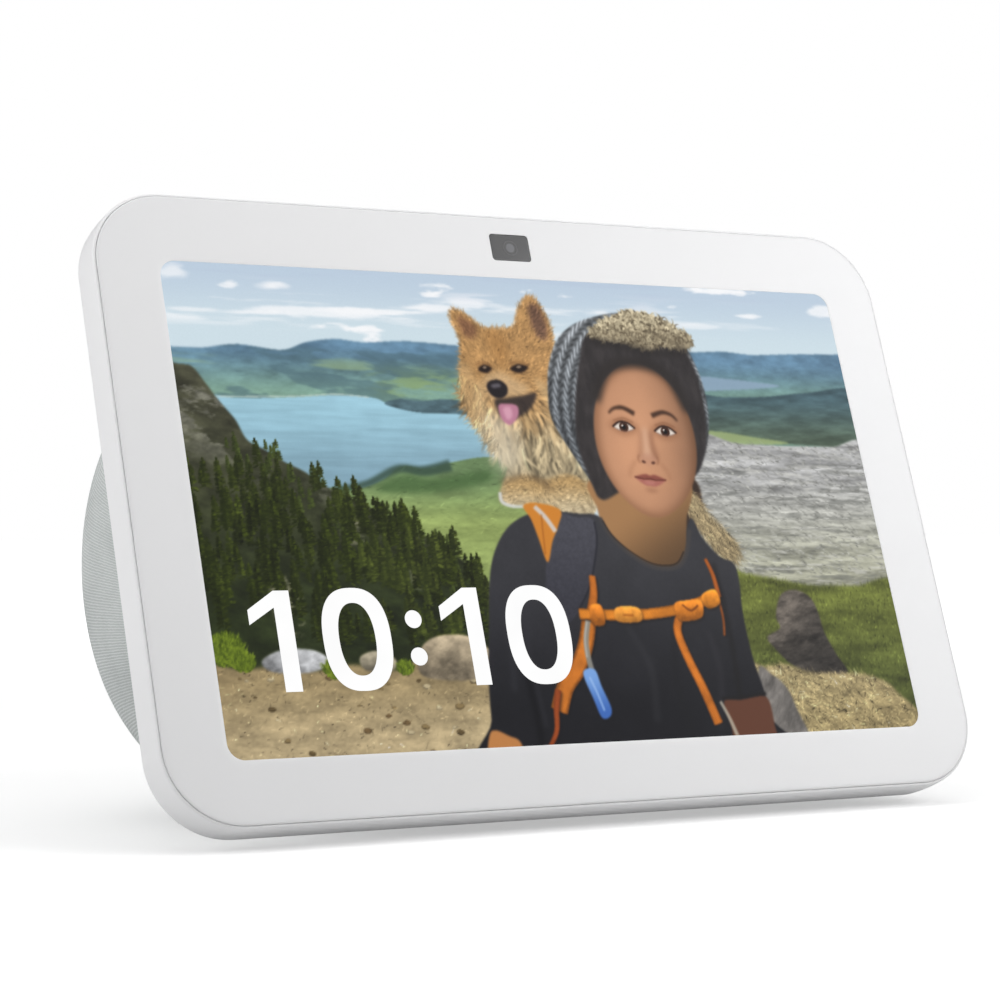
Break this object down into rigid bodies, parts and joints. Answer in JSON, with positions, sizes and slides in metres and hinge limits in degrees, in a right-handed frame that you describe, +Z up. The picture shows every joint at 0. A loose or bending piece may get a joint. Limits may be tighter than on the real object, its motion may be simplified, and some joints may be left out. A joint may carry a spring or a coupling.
{
  "type": "smart display",
  "caption": "Tabletop smart display: a tilted white touch screen slab with a camera and shutter, carried by a rounded fabric covered speaker body.",
  "frame": {"origin": "on the table, under the middle of the object's box", "axes": "+X to the viewer's right, the screen faces -Y and leans back, +Z up"},
  "size_m": [0.2016, 0.1063, 0.134],
  "materials": {
    "front_glass": "gloss",
    "camera_window": "gloss",
    "foam": "matte",
    "screen": "gloss",
    "light_guide": "gloss",
    "steel": "satin",
    "circuit_board": "satin",
    "white_plastic": "satin",
    "flex_cable": "satin",
    "black_plastic": "matte",
    "lens_glass": "gloss",
    "button_plastic": "satin",
    "gold_plate": "satin",
    "heat_aluminium": "satin",
    "magnet_steel": "satin",
    "cone_paper": "matte",
    "rubber": "matte",
    "grille_plastic": "matte",
    "knit_fabric": "woven",
    "base_plastic": "matte",
    "screw_steel": "satin"
  },
  "bodies": {
    "housing": {"cover_glass": "front_glass", "camera_window": "camera_window", "screen_gasket": "foam", "lcd_cell": "screen", "light_guide": "light_guide", "backlight_tray": "steel", "display_driver_board": "circuit_board", "display_frame": "white_plastic", "rear_cover": "white_plastic", "display_flex_cable": "flex_cable", "camera_barrel": "black_plastic", "camera_lens": "lens_glass", "camera_board": "circuit_board", "shutter_guide": "black_plastic", "button_board": "circuit_board", "tact_switches": "steel", "microphone_boards": "circuit_board", "microphones": "gold_plate", "neck_bracket": "steel", "heat_spreader": "heat_aluminium", "main_board": "circuit_board", "processor_shield": "steel", "wifi_antennas": "gold_plate", "speaker_box": "black_plastic", "speaker_box_lid": "black_plastic", "left_driver_frame": "black_plastic", "left_driver_motor": "magnet_steel", "left_surround": "rubber", "right_driver_frame": "black_plastic", "right_driver_motor": "magnet_steel", "right_surround": "rubber", "radiator_frame": "black_plastic", "radiator_surround": "rubber", "grille_shell": "grille_plastic", "fabric_cover": "knit_fabric", "base_plate": "base_plastic", "rubber_foot": "rubber", "inlet_bezel": "base_plastic", "power_jack": "black_plastic", "power_board": "circuit_board", "bracket_screws": "screw_steel", "board_screws": "screw_steel", "box_screws": "screw_steel", "driver_screws": "screw_steel", "base_screws": "screw_steel"},
    "shutter": {"privacy_shutter": "white_plastic"},
    "mute_button": {"mute_button": "button_plastic"},
    "volume_down_button": {"volume_down_button": "button_plastic"},
    "volume_up_button": {"volume_up_button": "button_plastic"},
    "left_cone": {"left_cone": "cone_paper"},
    "right_cone": {"right_cone": "cone_paper"},
    "radiator_cone": {"radiator_cone": "cone_paper"}
  },
  "joints": [
    {"name": "shutter_slide", "type": "slide", "parent": "housing", "child": "shutter", "axis": [-1, 0, 0], "range_m": [0, 0.0085]},
    {"name": "mute_button_press", "type": "slide", "parent": "housing", "child": "mute_button", "axis": [0, -0.3371, -0.9415], "range_m": [0, 0.0005], "stiffness_N_per_m": 1500, "springref_m": -0.0008},
    {"name": "volume_down_button_press", "type": "slide", "parent": "housing", "child": "volume_down_button", "axis": [0, -0.3371, -0.9415], "range_m": [0, 0.0005], "stiffness_N_per_m": 1500, "springref_m": -0.0008},
    {"name": "volume_up_button_press", "type": "slide", "parent": "housing", "child": "volume_up_button", "axis": [0, -0.3371, -0.9415], "range_m": [0, 0.0005], "stiffness_N_per_m": 1500, "springref_m": -0.0008},
    {"name": "left_cone_stroke", "type": "slide", "parent": "housing", "child": "left_cone", "axis": [-1, 0, 0], "range_m": [-0.002, 0.002], "stiffness_N_per_m": 1500, "deforming": ["left_surround"]},
    {"name": "right_cone_stroke", "type": "slide", "parent": "housing", "child": "right_cone", "axis": [1, 0, 0], "range_m": [-0.002, 0.002], "stiffness_N_per_m": 1500, "deforming": ["right_surround"]},
    {"name": "radiator_stroke", "type": "slide", "parent": "housing", "child": "radiator_cone", "axis": [0, 1, 0], "range_m": [-0.003, 0.003], "stiffness_N_per_m": 1200, "deforming": ["radiator_surround"]}
  ]
}
